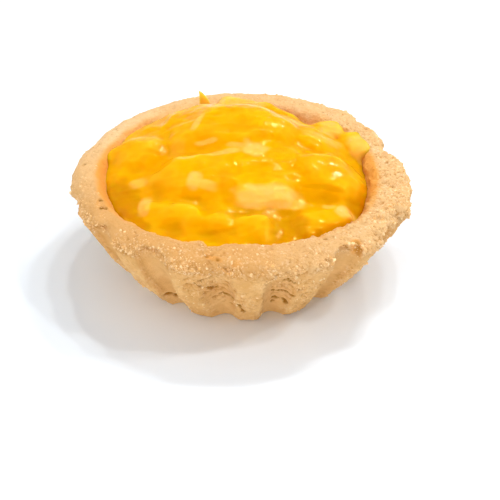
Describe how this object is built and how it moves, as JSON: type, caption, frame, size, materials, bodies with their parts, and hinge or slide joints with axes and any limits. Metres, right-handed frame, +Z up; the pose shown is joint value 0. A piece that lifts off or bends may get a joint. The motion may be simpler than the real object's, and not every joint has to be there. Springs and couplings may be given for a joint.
{
  "type": "fruit tart",
  "caption": "Small fluted shortcrust tartlet, open on top, heaped with glossy pieces of yellow fruit set in a thick clear gel.",
  "frame": {"origin": "centre of the flat underside of the crust, as it stands", "axes": "+Z up out of the filling, -Y towards the front, +X to the right seen from the front"},
  "size_m": [0.0719, 0.0679, 0.0272],
  "materials": {
    "shortcrust": "matt, crumbly baked pastry",
    "fruit_gel": "wet, glossy, slightly clear gel over fruit"
  },
  "bodies": {
    "root": {"crust": "shortcrust", "filling": "fruit_gel"}
  },
  "joints": []
}
